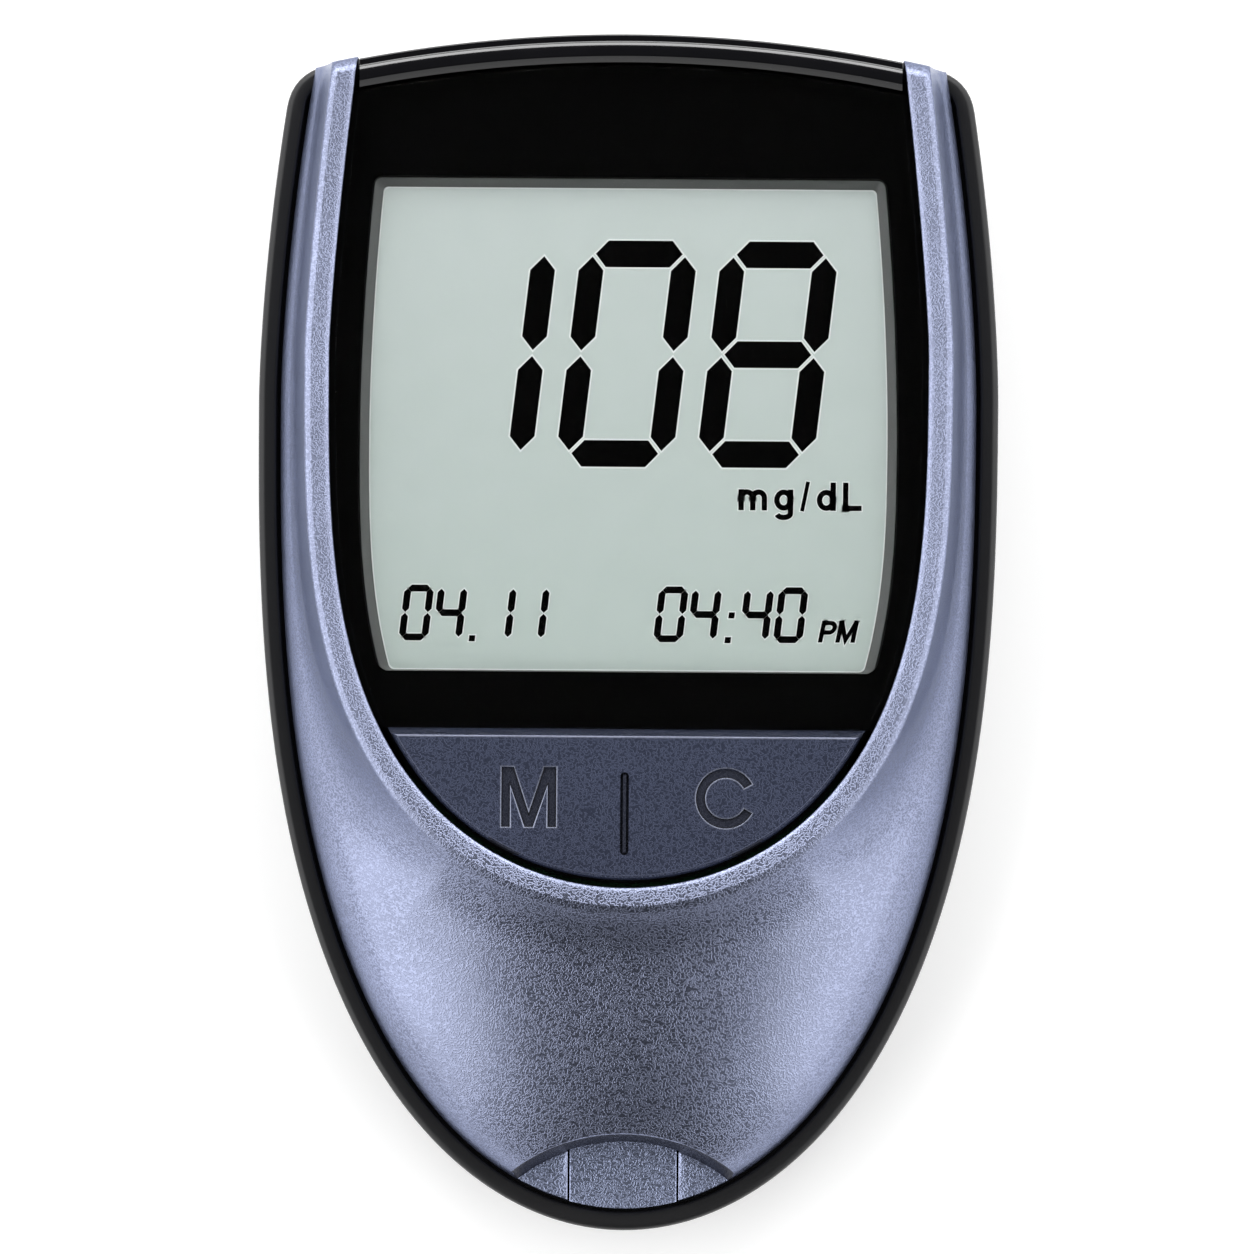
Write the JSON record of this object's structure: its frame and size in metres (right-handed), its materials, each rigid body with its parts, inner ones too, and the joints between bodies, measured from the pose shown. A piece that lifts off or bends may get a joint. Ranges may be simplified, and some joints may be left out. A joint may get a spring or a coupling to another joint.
{
  "type": "blood glucose meter",
  "caption": "Egg-shaped handheld blood glucose meter with a large segment display, a half-moon rocker key, a test strip port at the tip and a battery door in its back",
  "frame": {"origin": "middle of the flat back, on the surface that the meter lies on", "axes": "+X to the right of the display, +Y from the strip port to the top end, +Z out of the display"},
  "size_m": [0.06, 0.097, 0.0211],
  "materials": {
    "case_black": "satin moulded black",
    "cover_paint": "metallic lavender blue lacquer on moulded plastic",
    "cap_gloss": "glossy dark plastic",
    "lens_clear": "clear hard-coated acrylic",
    "mask_ink": "black screen print",
    "frame_black": "glossy black moulding",
    "key_paint": "dark metallic blue lacquer",
    "steel": "bare steel",
    "guide_paint": "metallic blue lacquer",
    "connector_black": "moulded black",
    "gold_plate": "gold plated spring metal",
    "display_glass": "liquid crystal glass",
    "display_film": "grey green polarizing film with dark segments",
    "reflector_film": "silver reflector film",
    "rubber_strip": "layered conductive rubber",
    "board_green": "green solder mask",
    "chip_black": "moulded epoxy",
    "capacitor_yellow": "moulded yellow epoxy",
    "infrared_resin": "dark infrared resin",
    "cell_sleeve": "printed sleeve over a steel can",
    "contact_nickel": "nickel plated spring steel",
    "label_film": "bare silver label film"
  },
  "bodies": {
    "housing": {"rear_case": "case_black", "front_cover": "cover_paint", "top_cap": "cap_gloss", "display_lens": "lens_clear", "lens_mask": "mask_ink", "inner_frame": "frame_black", "dome_left": "steel", "dome_right": "steel", "strip_guide": "guide_paint", "strip_connector": "connector_black", "strip_contact_1": "gold_plate", "strip_contact_2": "gold_plate", "strip_contact_3": "gold_plate", "strip_contact_4": "gold_plate", "lcd_cell": "display_glass", "lcd_polarizer": "display_film", "lcd_reflector": "reflector_film", "lcd_connector_strip": "rubber_strip", "main_board": "board_green", "microcontroller": "chip_black", "analog_chip": "chip_black", "storage_capacitor": "capacitor_yellow", "clock_crystal": "steel", "buzzer": "chip_black", "infrared_module": "infrared_resin", "battery_left": "cell_sleeve", "battery_right": "cell_sleeve", "contact_link": "contact_nickel", "contact_negative": "contact_nickel", "contact_positive": "contact_nickel", "case_screw_1": "steel", "case_screw_2": "steel", "case_screw_3": "steel", "case_screw_4": "steel", "board_screw_1": "steel", "board_screw_2": "steel", "board_screw_3": "steel", "rear_label": "label_film"},
    "key": {"rocker_key": "key_paint"},
    "door": {"battery_door": "case_black"}
  },
  "joints": [
    {"name": "key_rocker", "type": "hinge", "parent": "housing", "child": "key", "pos_m": [0, -0.0145, 0.01795], "axis": [0, 1, 0], "range_deg": [-2.2, 2.2], "stiffness_Nm_per_rad": 0.4, "deforming": ["dome_left", "dome_right"]},
    {"name": "battery_door_hinge", "type": "hinge", "parent": "housing", "child": "door", "pos_m": [0, 0.0346, 0.00015], "axis": [1, 0, 0], "range_deg": [0, 75]}
  ]
}
